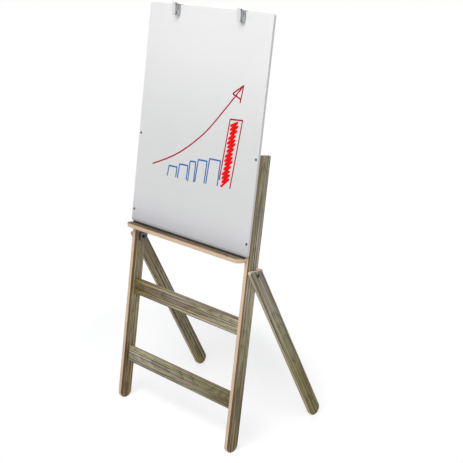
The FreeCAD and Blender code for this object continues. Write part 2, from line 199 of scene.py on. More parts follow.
def timberMaterial(name, place, choices, groove=None):  # plywood: stained face veneers over pale plies
    look, ply, rings, seed = timberLook, plyLook, timberLook["rings"], choices["seed"]
    material, tree, shader = newMaterial(name, Specular_IOR_Level=0.35)
    own = ownAxes(tree, place)
    thick, wide, along = (own[i] for i in choices["axes"])
    half, halfWide, halfLong = (place["size"][i] / 2 for i in choices["axes"])
    sideShift, runShift = (seed * shift for shift in look["seedShift"])
    side = calc(tree, "MULTIPLY_ADD", thick, look["sideScale"], sideShift)
    run = calc(tree, "ADD", along, runShift)

    def streak(kind):
        across, length, detail, rough, shift = look["streaks"][kind]
        return grain(tree, (wide, across), (run, length), calc(tree, "ADD", side, shift), detail=detail, rough=rough)

    def coated(colour, share, coat):
        return mixColour(tree, share, colour, look[coat])

    # growth rings cut nearly flat, so that they close into long points
    offset = calc(tree, "ADD", wide, calc(tree, "MULTIPLY_ADD", streak("sway"), *rings["sway"]))
    depth = calc(tree, "MULTIPLY_ADD", streak("depth"), *rings["depth"])
    ripple = calc(tree, "MULTIPLY", streak("ripple"), rings["ripple"])
    radius = calc(tree, "SQRT", calc(tree, "ADD", product(tree, offset, offset), product(tree, depth, depth)))
    saw = calc(tree, "FRACT", calc(tree, "DIVIDE", calc(tree, "ADD", radius, ripple), rings["gap"]))
    lateWood = product(tree, calc(tree, "POWER", saw, rings["sharpness"]), fade(tree, saw, 1.0, 0.9))

    limits, shares = look["limits"], look["shares"]
    tone, bands, darks, lights = (
        fade(tree, streak(kind), *limits[kind]) for kind in ("tone", "bands", "darks", "lights"))
    fibres = streak("fibres")
    face = mixColour(tree, tone, look["brown"], look["olive"])
    face = coated(face, product(tree, bands, shares["bands"]), "grey")
    face = coated(face, product(tree, lateWood, shares["lateWood"]), "dark")
    face = coated(face, product(tree, darks, shares["darks"]), "dark")
    face = coated(face, product(tree, lights, shares["lights"]), "light")
    face = coated(face, fade(tree, fibres, *look["fibreLimits"]), "dark")
    if "frontBand" in choices:  # golden brown run beside the front edge
        band, share = choices["frontBand"], look["bandShares"]["front"]
        face = coated(face, fade(tree, wide, band - halfWide, 0.5 * band - halfWide, 0.0, share), "stain")
    if "deep" in choices:  # a heavier coat, uneven along the piece
        coat = look["coat"]
        least, most = choices["deep"] - coat["spread"], choices["deep"] + coat["spread"]
        patches = grain(tree, (run, coat["alongScale"]), (wide, coat["acrossScale"]), seed, detail=3.0, rough=0.6)
        face = coated(face, fade(tree, patches, *coat["limits"], least, most), "dark")
    if "rearShadeBand" in choices:  # painted shade: darker beside the rear edge, where the rounded edge turns from the light
        band, share = choices["rearShadeBand"], look["bandShares"]["rear"]
        face = coated(face, fade(tree, wide, halfWide - band, halfWide - 0.4 * band, 0.0, share), "dark")

    def aged(colour):  # weathered towards one end, browner towards the other
        (low, lowTint), (high, highTint) = choices["ageing"]
        power = look["ageingPower"]
        tints = [tuple(value ** power for value in tint) + (1.0,) for tint in (lowTint, highTint)]
        tint = mixColour(tree, fade(tree, along, low * halfLong, high * halfLong), *tints)
        return mixColour(tree, 1.0, colour, tint, "MULTIPLY")

    if "ageing" in choices:
        face = aged(face)

    # plies seen on the narrow edges
    layer = calc(tree, "MULTIPLY_ADD", thick, ply["plies"] / 2 / half, ply["plies"] / 2)
    inLayer = calc(tree, "FRACT", layer)
    nearGlue = calc(tree, "MINIMUM", inLayer, calc(tree, "SUBTRACT", 1.0, inLayer))
    endGrain = calc(tree, "MODULO", calc(tree, "FLOOR", layer), 2.0)
    acrossPly = product(tree, thick, ply["acrossScale"])
    longTone = grain(tree, acrossPly, (run, ply["longScale"]), seed, detail=3.0, rough=0.6)
    endTone = grain(tree, acrossPly, (run, ply["endScale"]), seed, rough=0.6)
    blotch = grain(tree, (run, ply["blotchScale"]), seed, thick, detail=3.0, rough=0.6)
    longSide = mixColour(tree, fade(tree, longTone, *ply["limits"]), ply["long"], ply["longDark"])
    endSide = mixColour(tree, fade(tree, endTone, *ply["limits"]), ply["end"], ply["endDark"])
    edge = mixColour(tree, product(tree, endGrain, ply["endShare"]), longSide, endSide)
    edge = mixColour(tree, fade(tree, blotch, *ply["blotchLimits"]), edge, ply["endDark"])
    glue = fade(tree, nearGlue, ply["glueLine"], 0.3 * ply["glueLine"], 0.0, ply["glueShare"])
    edge = mixColour(tree, glue, edge, ply["glue"])
    if "stain" in choices:
        stain = choices["stain"]
        edge = coated(edge, stain, "weathered" if stain < look["brownAbove"] else "brown")
        edge = coated(edge, product(tree, darks, shares["edgeDarks"] * stain), "dark")
        if "ageing" in choices:
            edge = aged(edge)
    if "spilt" in choices:  # stain run over from the top face, further in places
        spill, spilt = look["spill"], choices["spilt"]
        reach = grain(tree, (run, spill["scale"]), seed, 3.0, detail=3.0, rough=0.6)
        reach = calc(tree, "MULTIPLY_ADD", reach, spill["most"] * spilt, half - spill["least"] * spilt)
        over = fade(tree, calc(tree, "SUBTRACT", thick, reach), *spill["limits"], 0.0, spill["share"])
        edge = coated(edge, over, "spilt")
    depthIn = calc(tree, "SUBTRACT", half, calc(tree, "ABSOLUTE", thick))
    onFace = fade(tree, depthIn, look["veneer"], 0.75 * look["veneer"])
    colour = mixColour(tree, onFace, edge, face)
    if groove:  # painted shade, near black, inside the groove
        grooveShade, bottom = look["grooveShadeReach"], half - groove["deep"]
        pastFront = fade(tree, wide, *(groove["front"] - before for before in grooveShade["front"]))
        beforeBack = fade(tree, wide, groove["back"] + grooveShade["back"], groove["back"])
        aboveFloor = fade(tree, thick, *(bottom - below for below in grooveShade["floor"]))
        colour = coated(colour, product(tree, pastFront, beforeBack, aboveFloor, grooveShade["share"]), "grooveShade")
    tree.links.new(colour, shader.inputs["Base Color"])
    tree.links.new(calc(tree, "MULTIPLY_ADD", fibres, *look["roughness"]), shader.inputs["Roughness"])
    relief = look["relief"]
    height = calc(tree, "ADD", product(tree, fibres, relief["fibres"]), product(tree, lateWood, relief["lateWood"]))
    height = calc(tree, "ADD", height, product(tree, endTone, relief["endTone"]))
    addBump(tree, shader, height, relief["strength"], relief["depth"])
    return material


paleLook = {
    "light": shade(212, 185, 168), "dark": shade(184, 150, 128), "pore": shade(138, 98, 74),
    "scales": (900.0, 30.0, 700.0), "fleckScales": (2.2, 9.0, 2.2), "edge": 0.5 * mm,
    "limits": (0.32, 0.68), "fleckLimits": (0.62, 0.78, 0.0, 0.6),
    "roughness": (0.2, 0.45), "relief": (0.25, 0.2 * mm),
}


def paleWoodMaterial(name, place):  # unstained beech, flecked
    look = paleLook
    material, tree, shader = newMaterial(name, Specular_IOR_Level=0.35)
    own = ownAxes(tree, place)
    spots = [product(tree, own[i], look["scales"][i]) for i in range(3)]
    tone = grain(tree, *spots, detail=3.0, rough=0.6)
    fleck = grain(tree, *zip(spots, look["fleckScales"]), detail=1.0)
    wood = mixColour(tree, fade(tree, tone, *look["limits"]), look["light"], look["dark"])
    wood = mixColour(tree, fade(tree, fleck, *look["fleckLimits"]), wood, look["pore"])
    tree.links.new(wood, shader.inputs["Base Color"])
    tree.links.new(calc(tree, "MULTIPLY_ADD", tone, *look["roughness"]), shader.inputs["Roughness"])
    addBump(tree, shader, fleck, *look["relief"])
    return material


boardLook = {
    # the mid grey stands for the panel's own clouding and for painted shade; the lilac grey is painted shade at the
    # foot
    "front": shade(216, 216, 215), "hazeAndShade": shade(193, 193, 193), "footShadeTint": shade(188, 186, 194),
    # the two dark greys on the next line are painted shade for the board's foot at the shelf
    "edging": shade(219, 219, 220), "paintedShade": shade(96, 96, 98), "footShadowLine": shade(48, 48, 48),
    "backing": shade(228, 226, 221), "backingDark": shade(220, 218, 212), "skin": 0.5 * mm,
    "clouds": (5.0, 11.0), "speck": (900.0, 900.0), "paper": (160.0, 22.0),
    "backLimits": (0.35, 0.7), "edgingLimits": (0.4, 0.7, 0.0, 0.3),
    "frontRoughness": (0.12, 0.26), "backRoughness": 0.55, "frontRelief": 0.12, "relief": (0.12, 0.15 * mm),
    "hazeAndShadeSpans": {  # where each starts and ends, and its share at both
        "clouds": (0.2, 0.9, 0.0, 0.04), "speck": (0.7, 0.8, 0.0, 0.25),
        # the spans from here on are painted shade
        "right": (-0.2, 0.25, 0.0, 0.22), "foot": (-0.23, -0.32, 0.0, 0.55),
        "shadeUp": (0.24, -0.06, 0.0, 0.49), "shadeAcross": (-0.26, -0.1, 0.72, 1.0),
    },
    "footShadeBands": (  # painted shade along the board's foot, where it meets the shelf: colour, where it starts and ends above the foot, and its share
        ("paintedShade", 60 * mm, 12 * mm, 0.09), ("paintedShade", 12 * mm, 0.0, 0.45), ("footShadowLine", 2.2 * mm, 1.0 * mm, 0.9),
    ),
    "edge": 0.5 * mm,
}


def boardMaterial(name):  # dry-wipe front, plastic edging, paper-faced back
    look, hazeAndShadeSpans = boardLook, boardLook["hazeAndShadeSpans"]
    material, tree, shader = newMaterial(name, Specular_IOR_Level=0.5)
    x, depth, up = ownAxes(tree, boardPlace)
    half, foot = boardPlace["size"].y / 2, -boardPlace["size"].z / 2
    clouds = grain(tree, *zip((x, up), look["clouds"]), 1.0, detail=4.0, rough=0.62)
    speck = grain(tree, *zip((x, up), look["speck"]), 2.0, rough=0.6)
    paper = grain(tree, *zip((x, up), look["paper"]), 3.0, detail=4.0, rough=0.65)
    paintedFalloff = product(tree, fade(tree, up, *hazeAndShadeSpans["shadeUp"]), fade(tree, x, *hazeAndShadeSpans["shadeAcross"]))
    front = mixColour(tree, fade(tree, clouds, *hazeAndShadeSpans["clouds"]), look["front"], look["hazeAndShade"])
    front = mixColour(tree, paintedFalloff, front, look["hazeAndShade"])  # painted shade: the lower part greyer, standing in for the lamp's light falling off down the board
    # painted shade: lilac grey towards the foot
    front = mixColour(tree, fade(tree, up, *hazeAndShadeSpans["foot"]), front, look["footShadeTint"])
    # painted shade: greyer towards the right, evening out the lamp's light across the board
    front = mixColour(tree, fade(tree, x, *hazeAndShadeSpans["right"]), front, look["hazeAndShade"])
    front = mixColour(tree, fade(tree, speck, *hazeAndShadeSpans["speck"]), front, look["hazeAndShade"])
    for shadeKey, start, end, share in look["footShadeBands"]:  # painted shade, darkest at the shelf
        front = mixColour(tree, fade(tree, up, foot + start, foot + end, 0.0, share), front, look[shadeKey])
    back = mixColour(tree, fade(tree, paper, *look["backLimits"]), look["backing"], look["backingDark"])
    edging = mixColour(tree, fade(tree, speck, *look["edgingLimits"]), look["edging"], look["hazeAndShade"])
    onFront = fade(tree, depth, look["skin"] - half, 0.5 * look["skin"] - half)
    onBack = fade(tree, depth, half - look["skin"], half - 0.5 * look["skin"])
    colour = mixColour(tree, onBack, mixColour(tree, onFront, edging, front), back)
    tree.links.new(colour, shader.inputs["Base Color"])
    frontRough = calc(tree, "MULTIPLY_ADD", speck, *look["frontRoughness"])
    roughness = newNode(tree, "ShaderNodeMix", {0: onFront, 2: look["backRoughness"], 3: frontRough}).outputs[0]
    tree.links.new(roughness, shader.inputs["Roughness"])
    flatter = fade(tree, onFront, 0.0, 1.0, 1.0, look["frontRelief"])
    addBump(tree, shader, product(tree, calc(tree, "ADD", paper, speck), flatter), *look["relief"])
    return material


metalGrain = {
    "brush": (1600.0, 1600.0, 60.0), "patch": (230.0, 230.0, 230.0), "wornLimits": (0.35, 0.7),
    "brushLimits": (0.3, 0.75, 0.0, 0.4), "uneven": 0.14, "relief": (0.15, 0.05 * mm),
}


def metalMaterial(name, base, worn, rough, metallic=1.0):
    look = metalGrain
    material, tree, shader = newMaterial(name, Metallic=metallic)
    own = list(plainAxes(tree))
    lines = grain(tree, *zip(own, look["brush"]), detail=3.0, rough=0.6)
    patch = grain(tree, *zip(own, look["patch"]), detail=3.0, rough=0.6)
    tint = mixColour(tree, fade(tree, patch, *look["wornLimits"]), base, worn)
    tint = mixColour(tree, fade(tree, lines, *look["brushLimits"]), tint, worn)
    tree.links.new(tint, shader.inputs["Base Color"])
    uneven = calc(tree, "ADD", product(tree, lines, look["uneven"]), product(tree, patch, look["uneven"]))
    tree.links.new(calc(tree, "ADD", uneven, rough - look["uneven"]), shader.inputs["Roughness"])
    addBump(tree, shader, lines, *look["relief"])
    return material


inkLook = {  # full and thin coats
    "red": (shade(168, 0, 26), shade(142, 6, 38)),
    "brightRed": (shade(232, 0, 0), shade(208, 2, 4)),
    "blue": (shade(4, 94, 158), shade(14, 120, 188)),
}
inkFlow = {
    "flowScale": 120.0, "flowLimits": (0.4, 0.75), "streakScale": 1500.0, "streakLimits": (0.55, 0.8, 0.0, 0.5),
    "roughness": (0.2, 0.35),
}


def inkMaterial(name, full, thin):  # marker ink, thinner in places
    material, tree, shader = newMaterial(name, Specular_IOR_Level=0.12)
    own, look = plainAxes(tree), inkFlow
    x, z = own["X"], own["Z"]
    flow = grain(tree, (x, look["flowScale"]), (z, look["flowScale"]), 5.0, detail=3.0, rough=0.6)
    streaks = grain(tree, (x, look["streakScale"]), (z, look["streakScale"]), 7.0)
    ink = mixColour(tree, fade(tree, flow, *look["flowLimits"]), full, thin)
    ink = mixColour(tree, fade(tree, streaks, *look["streakLimits"]), ink, thin)
    tree.links.new(ink, shader.inputs["Base Color"])
    tree.links.new(calc(tree, "MULTIPLY_ADD", streaks, *look["roughness"]), shader.inputs["Roughness"])
    return material


def meshPiece(name, mesh, body, stands=()):
    piece = bpy.data.objects.new(name, mesh)
    bpy.context.scene.collection.objects.link(piece)
    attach(piece, body)
    if stands:
        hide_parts(*stands)


easing = {
    "sharpAt": math.radians(30), "flatWithin": math.radians(0.4), "joinWithin": 0.002 * mm, "seatWithin": 2 * mm,
    "rounds": 2,
}


# a copy of the part with its hard edges eased, apart from those that sit against its neighbour
def softened(nodeName, pieceName, material, edge, shortest=0.6 * mm, meets=None):
    work = bmesh.new()
    work.from_mesh(cadNodes[nodeName].data)
    bmesh.ops.remove_doubles(work, verts=work.verts, dist=easing["joinWithin"])
    bmesh.ops.dissolve_limit(work, angle_limit=easing["flatWithin"], verts=work.verts, edges=work.edges)

    def seated(e):
        return meets is not None and all((v.co - meets).yz.length < easing["seatWithin"] for v in e.verts)

    hard = [e for e in work.edges if len(e.link_faces) == 2 and e.calc_length() > shortest
            and e.calc_face_angle(0) > easing["sharpAt"] and not seated(e)]
    eased = bmesh.ops.bevel(work, geom=hard, offset=edge, offset_type="OFFSET", segments=easing["rounds"],
                            profile=0.5, affect="EDGES", clamp_overlap=False)
    bmesh.ops.triangulate(work, faces=[f for f in work.faces if len(f.verts) > 4])
    for face in work.faces:
        face.smooth = False
    for face in eased["faces"]:
        if face.is_valid:
            face.smooth = True
    mesh = bpy.data.meshes.new(pieceName)
    work.to_mesh(mesh)
    work.free()
    mesh.materials.append(material)
    meshPiece(pieceName, mesh, bodyOf[nodeName], [nodeName])


timberSet = {
    "edge": 0.8 * mm, "grooveWide": 5.5 * mm, "grooveDeep": 3.0 * mm,
    "pieces": {  # axes of thickness, width and length; ageing is two spots along the half length, each with its tint
        "left_upright": {
            "lean": frontLean, "axes": (0, 1, 2), "seed": 1.0, "frontBand": 9 * mm,
            "ageing": ((-1.0, (0.88, 0.82, 0.76)), (-0.3, (1.02, 1.02, 1.02))),
        },
        "right_upright": {
            "lean": frontLean, "axes": (0, 1, 2), "seed": 58.0, "frontBand": 9 * mm,
            "ageing": ((-1.0, (0.89, 0.86, 0.78)), (0.1, (1.1, 1.12, 1.19))),
        },
        "upper_rail": {
            "lean": frontLean, "axes": (1, 2, 0), "seed": 29.0, "stain": 0.95,
            "ageing": ((-1.0, (0.83, 0.79, 0.64)), (0.0, (1.02, 1.03, 1.08))),
        },
        "lower_rail": {
            "lean": frontLean, "axes": (1, 2, 0), "seed": 50.0, "stain": 0.95,
            "ageing": ((-1.0, (1.16, 1.2, 1.3)), (1.0, (0.78, 0.78, 0.68))),
        },
        "pen_shelf": {"lean": 0.0, "axes": (2, 1, 0), "seed": 5.0, "deep": 0.72, "spilt": 2.6 * mm},
        "left_rear_leg": {
            "lean": legLean, "axes": (0, 1, 2), "seed": 21.0, "stain": 0.6, "rearShadeBand": 5 * mm,
            "ageing": ((-1.0, (0.93, 0.9, 0.8)), (-0.4, (0.98, 0.97, 0.98))),
        },
        "right_rear_leg": {
            "lean": legLean, "axes": (0, 1, 2), "seed": 47.0, "stain": 0.6,
            "ageing": ((-0.9, (0.96, 0.94, 0.8)), (0.9, (1.07, 1.1, 1.17))),
        },
    },
}
boardSize = boardPlace["size"]
boardFoot = boardPlace["middle"] + boardAxes @ Vector((0, boardSize.y / 2, -boardSize.z / 2))
grooveBack = boardFoot.y - boardSize.y * math.cos(frontLean) - restPlace("pen_shelf")["middle"].y
shelfGroove = {"front": grooveBack - timberSet["grooveWide"], "back": grooveBack, "deep": timberSet["grooveDeep"]}
for part, choices in timberSet["pieces"].items():
    groove, meets = (shelfGroove, boardFoot) if part == "pen_shelf" else (None, None)
    timber = timberMaterial(part + "_ply", restPlace(part, choices["lean"]), choices, groove)
    softened(part, part + "_timber", timber, timberSet["edge"], meets=meets)
print("timber pieces eased and stained")

panelFinish, blockWood = boardMaterial("dry_wipe_panel"), paleWoodMaterial("pale_block", restPlace("stop_blocks"))
softened("writing_board", "writing_board_panel", panelFinish, boardLook["edge"], meets=boardFoot)
softened("stop_blocks", "stop_blocks_wood", blockWood, paleLook["edge"])
cadNodes["shelf_dowels"].data.materials.clear()
cadNodes["shelf_dowels"].data.materials.append(paleWoodMaterial("pale_dowel", restPlace("shelf_dowels")))
print("board, stop blocks and dowels finished")

metalLook = {  # clean colour, worn colour, roughness, and how metallic where it is plated thinly
    "strip": (shade(176, 177, 180), shade(150, 151, 155), 0.4, 0.4),
    "screw": (shade(112, 112, 116), shade(78, 78, 84), 0.36),
    "plate": (shade(116, 115, 114), shade(86, 85, 84), 0.42),
    "nut": (shade(74, 76, 84), shade(46, 48, 56), 0.4),
    "bolt": (shade(104, 98, 88), shade(66, 62, 58), 0.42),
    "zinc": (shade(170, 172, 176), shade(140, 142, 148), 0.38),
}
metals = {name: metalMaterial(name + "_metal", *values) for name, values in metalLook.items()}
clipLook = {
    # the face grey is the lit front, the next a painted shaded copy for the sides, and the near black painted shade
    "face": shade(206, 207, 208), "shadedFlank": shade(176, 177, 180), "paintedShade": shade(20, 20, 22),
    "brush": (1500.0, 1500.0, 90.0), "patch": (260.0, 260.0, 260.0), "skin": (0.35 * mm, 0.1 * mm),
    "bend": 6.5 * mm, "top": (12 * mm, 5 * mm), "bendShadeShare": 0.95,
    "seamAt": -0.03, "seamWide": 1.5 * mm, "seamTop": (-0.35, -0.1), "seamShare": 0.92,
    "brushLimits": (0.35, 0.75, 0.0, 0.3), "patchLimits": (0.2, 0.7, 0.5, 1.0),
    "roughness": (0.25, 0.28), "relief": (0.12, 0.05 * mm),
}


def clipMaterial(name, place):  # plated, with painted shade on the sides, along the bends and in a line down each side
    look = clipLook
    material, tree, shader = newMaterial(name, Metallic=0.35)
    own, half = list(ownAxes(tree, place)), place["size"] / 2
    x, y, z = own
    brushed = grain(tree, *zip(own, look["brush"]), detail=3.0, rough=0.6)
    patch = grain(tree, *zip(own, look["patch"]), detail=3.0, rough=0.6)
    onFlank = fade(tree, calc(tree, "ABSOLUTE", x), *(half.x - depth for depth in look["skin"]))
    toFront = fade(tree, y, look["bend"] - half.y, 0.5 * look["bend"] - half.y)
    toTop = fade(tree, z, *(half.z - below for below in look["top"]), 0.5, 1.0)
    # painted shade: the sides take a darker copy of the front's colour
    tint = mixColour(tree, onFlank, look["face"], look["shadedFlank"])
    tint = mixColour(tree, fade(tree, brushed, *look["brushLimits"]), tint, look["shadedFlank"])
    # painted shade, near black, along each side's bend to the front, heavier near the top
    paintedShade = product(tree, onFlank, toFront, product(tree, toTop, fade(tree, patch, *look["patchLimits"])))
    tint = mixColour(tree, product(tree, paintedShade, look["bendShadeShare"]), tint, look["paintedShade"])
    aside = calc(tree, "ABSOLUTE", calc(tree, "SUBTRACT", y, look["seamAt"] * half.y))
    slitShadow = fade(tree, aside, look["seamWide"], 0.4 * look["seamWide"])  # painted shadow of the slit down the side
    upper = fade(tree, z, *(share * half.z for share in look["seamTop"]), 0.0, look["seamShare"])
    slitShadow = product(tree, slitShadow, onFlank, upper)
    tint = mixColour(tree, slitShadow, tint, look["paintedShade"])
    tree.links.new(tint, shader.inputs["Base Color"])
    tree.links.new(calc(tree, "MULTIPLY_ADD", patch, *look["roughness"]), shader.inputs["Roughness"])
    addBump(tree, shader, brushed, *look["relief"])
    return material


pressedParts = {  # part: piece, slot, eased edge, metal or none for plating
    "left_clip_body": ("left_clip_strip", "clip_steel", 0.3 * mm, "strip"),
    "right_clip_body": ("right_clip_strip", "clip_steel", 0.3 * mm, "strip"),
    "left_clip_lever": ("left_clip_channel", "clip_steel", 0.35 * mm, None),
    "right_clip_lever": ("right_clip_channel", "clip_steel", 0.35 * mm, None),
    "pivot_plates": ("pivot_plates_steel", "plate_steel", 0.4 * mm, "plate"),
}
for part, (pieceName, slotName, edge, metal) in pressedParts.items():
    finish = metals[metal] if metal else clipMaterial(part + "_plating", restPlace(part, frontLean))
    softened(part, pieceName, finish, edge, shortest=0.3 * mm)
cadNodes["pivot_washers"].data.materials.clear()
cadNodes["pivot_washers"].data.materials.append(metals["zinc"])
print("pressed metal parts finished")


def newTree(name, inputs):  # a Geometry Nodes tree with named inputs
    tree = bpy.data.node_groups.new(name, "GeometryNodeTree")
    tree.is_modifier = True
    for label, kind, value in (("Geometry", "Geometry", None), *inputs, ("Material", "Material", None)):
        socket = tree.interface.new_socket(label, in_out="INPUT", socket_type="NodeSocket" + kind)
        if value is not None:
            socket.default_value = value
    tree.interface.new_socket("Geometry", in_out="OUTPUT", socket_type="NodeSocketGeometry")
    return tree, newNode(tree, "NodeGroupInput").outputs


def endTree(tree, geometry, material):
    real = newNode(tree, "GeometryNodeRealizeInstances", {"Geometry": geometry}).outputs[0]
    done = newNode(tree, "GeometryNodeSetMaterial", {"Geometry": real, "Material": material}).outputs[0]
    newNode(tree, "NodeGroupOutput", {"Geometry": done})
    return tree


def sweepTree():  # a line swept with a round or flattened section
    tree, given = newTree("sweptLine", (
        ("Width", "Float", 2.0 * mm), ("Height", "Float", 0.2 * mm), ("Step", "Float", 2.0 * mm),
        ("Wobble", "Float", 0.0), ("Seed", "Float", 0.0), ("Sides", "Int", 8)))
    feeds = {"Curve": given["Geometry"], "Length": given["Step"]}
    line = newNode(tree, "GeometryNodeResampleCurve", feeds, mode="LENGTH").outputs[0]
    place = newNode(tree, "GeometryNodeInputPosition").outputs[0]
    feeds = {"Vector": place, "W": given["Seed"], "Scale": 60.0, "Detail": 2.0}
    shaky = newNode(tree, "ShaderNodeTexNoise", feeds, noise_dimensions="4D").outputs["Color"]
    shift = newNode(tree, "ShaderNodeVectorMath", {0: shaky, 1: (0.5, 0.5, 0.5)}, operation="SUBTRACT").outputs[0]
    shift = newNode(tree, "ShaderNodeVectorMath", {0: shift, 1: (1, 1, 0)}, operation="MULTIPLY").outputs[0]
    feeds = {0: shift, "Scale": given["Wobble"]}
    shift = newNode(tree, "ShaderNodeVectorMath", feeds, operation="SCALE").outputs[0]
    line = newNode(tree, "GeometryNodeSetPosition", {"Geometry": line, "Offset": shift}).outputs[0]
    line = newNode(tree, "GeometryNodeSetCurveNormal", {"Curve": line}, mode="Z_UP").outputs[0]
    feeds = {"Resolution": given["Sides"], "Radius": 0.5}
    circle = newNode(tree, "GeometryNodeCurvePrimitiveCircle", feeds).outputs[0]
    scale = newNode(tree, "ShaderNodeCombineXYZ", {0: given["Width"], 1: given["Height"], 2: 1.0}).outputs[0]
    section = newNode(tree, "GeometryNodeTransform", {"Geometry": circle, "Scale": scale}).outputs[0]
    feeds = {"Curve": line, "Profile Curve": section, "Fill Caps": True}
    swept = newNode(tree, "GeometryNodeCurveToMesh", feeds).outputs[0]
    return endTree(tree, swept, given["Material"])


def copiesTree():  # one piece set at each point, turned by the point and spun at random on its own axis
    tree, given = newTree("placedCopies", (
        ("Piece", "Object", None), ("Size", "Float", 1.0), ("Spin", "Float", 0.0), ("Seed", "Int", 1)))
    feeds = {"Object": given["Piece"], "As Instance": True}
    piece = newNode(tree, "GeometryNodeObjectInfo", feeds).outputs["Geometry"]
    turn = newNode(tree, "GeometryNodeInputNamedAttribute", {"Name": "turn"}, data_type="FLOAT_VECTOR").outputs[0]
    feeds = {"Points": given["Geometry"], "Instance": piece, "Rotation": turn, "Scale": given["Size"]}
    copies = newNode(tree, "GeometryNodeInstanceOnPoints", feeds).outputs[0]
    feeds = {2: 0.0, 3: given["Spin"], "Seed": given["Seed"]}
    spin = newNode(tree, "FunctionNodeRandomValue", feeds, data_type="FLOAT").outputs[1]
    about = newNode(tree, "ShaderNodeCombineXYZ", {2: spin}).outputs[0]
    feeds = {"Instances": copies, "Rotation": about, "Local Space": True}
    copies = newNode(tree, "GeometryNodeRotateInstances", feeds).outputs[0]
    return endTree(tree, copies, given["Material"])


def runTree(tree, holder, inputs):  # the tree's result on holder as a plain mesh
    modifier = holder.modifiers.new("build", "NODES")
    modifier.node_group = tree
    for item in tree.interface.items_tree:
        if item.item_type == "SOCKET" and item.in_out == "INPUT" and item.name in inputs:
            modifier[item.identifier] = inputs[item.name]
    bpy.context.view_layer.update()
    seen = holder.evaluated_get(bpy.context.evaluated_depsgraph_get())
    mesh = bpy.data.meshes.new_from_object(seen)
    holder.modifiers.remove(modifier)
    bpy.data.objects.remove(holder)
    return mesh


def lineHolder(name, lines):  # open lines of points as one curve object
    curve = bpy.data.curves.new(name, "CURVE")
    curve.dimensions = "3D"
    for points, smooth in lines:
        spline = curve.splines.new("NURBS" if smooth else "POLY")
        spline.points.add(len(points) - 1)
        for spot, point in zip(spline.points, points):
            spot.co = (*point, 1.0)
        if smooth:
            spline.order_u = 3
            spline.use_endpoint_u = True
            spline.resolution_u = 8
    holder = bpy.data.objects.new(name, curve)
    bpy.context.scene.collection.objects.link(holder)
    return holder


sweptLine, placedCopies = sweepTree(), copiesTree()


def sixSided(flat):  # outline of a hexagon, from the middle to its flats
    return lambda angle: flat / math.cos((angle + math.pi / 6) % (math.pi / 3) - math.pi / 6)


def cross(halfWide, reach, tiny=1e-9):  # outline of a cross recess
    def outline(angle):
        level, upright = abs(math.cos(angle)) + tiny, abs(math.sin(angle)) + tiny
        return max(min(reach / level, halfWide / upright), min(halfWide / level, reach / upright))
    return outline


def turnedMesh(name, rings, loop=False, steps=24):  # rings of height and radius or outline, in millimetres
    work = bmesh.new()
    made = []
    for height, outline in rings:
        if outline == 0:
            made.append([work.verts.new((0, 0, height * mm))] * steps)
            continue
        angles = [2 * math.pi * k / steps for k in range(steps)]
        radii = [outline(a) if callable(outline) else outline for a in angles]
        spots = [(r * math.cos(a) * mm, r * math.sin(a) * mm, height * mm) for a, r in zip(angles, radii)]
        made.append([work.verts.new(spot) for spot in spots])
    pairs = list(zip(made, made[1:])) + ([(made[-1], made[0])] if loop else [])
    for first, second in pairs:
        for k in range(steps):
            corners = [first[k], first[(k + 1) % steps], second[(k + 1) % steps], second[k]]
            work.faces.new(list(dict.fromkeys(corners)))
    bmesh.ops.recalc_face_normals(work, faces=work.faces)
    for face in work.faces:
        face.smooth = True
    mesh = bpy.data.meshes.new(name)
    work.to_mesh(mesh)
    work.free()
    mesh.set_sharp_from_angle(angle=math.radians(38))
    return mesh


def thread(start, end, look):  # ridges of a thread, from one height down to another
    outer, root, pitch = look["shank"] / 2, look["root"] / 2, look["pitch"]
    rings = []
    for k in range(int((start - end) / pitch)):
        top = start - k * pitch
        rings += [(top - 0.1 * pitch, root), (top - 0.45 * pitch, outer), (top - 0.65 * pitch, outer)]
    return rings


def setCopies(name, oneMesh, spots, metal, part, spin=0.0, seed=1):  # copies of one mesh stand for a part
    mesh = bpy.data.meshes.new(name + "_spots")
    mesh.from_pydata([spot for spot, turn in spots], [], [])
    turns = mesh.attributes.new("turn", "FLOAT_VECTOR", "POINT")
    for item, (spot, turn) in zip(turns.data, spots):
        item.vector = turn
    holder = bpy.data.objects.new(name + "_spots", mesh)
    one = bpy.data.objects.new(name + "_one", oneMesh)
    for thing in (holder, one):
        bpy.context.scene.collection.objects.link(thing)
    inputs = {"Piece": one, "Size": 1.0, "Spin": spin, "Seed": seed, "Material": metals[metal]}
    result = runTree(placedCopies, holder, inputs)
    bpy.data.objects.remove(one)
    meshPiece(name, result, bodyOf[part], [part])


def along(place, x, y, z):  # a spot given in a part's own axes
    return place["middle"] + Matrix.Rotation(place["turn"], 3, "X") @ Vector((x, y, z))


def onAxle(place, side):  # the outer end of a pair of parts that share an axis across the easel
    return (side * place["size"].x / 2, place["middle"].y, place["middle"].z)


def lengthOnAxle(part, place):  # length of each of the pair, in millimetres
    innerEnd = min(abs(v.co.x) for v in cadNodes[part].data.vertices)
    return (place["size"].x / 2 - innerEnd) / mm


toLeft, toRight = (0, math.radians(-90), 0), (0, math.radians(90), 0)
toFront, toBack = (math.radians(90) + frontLean, 0, 0), (math.radians(-90) + frontLean, 0, 0)

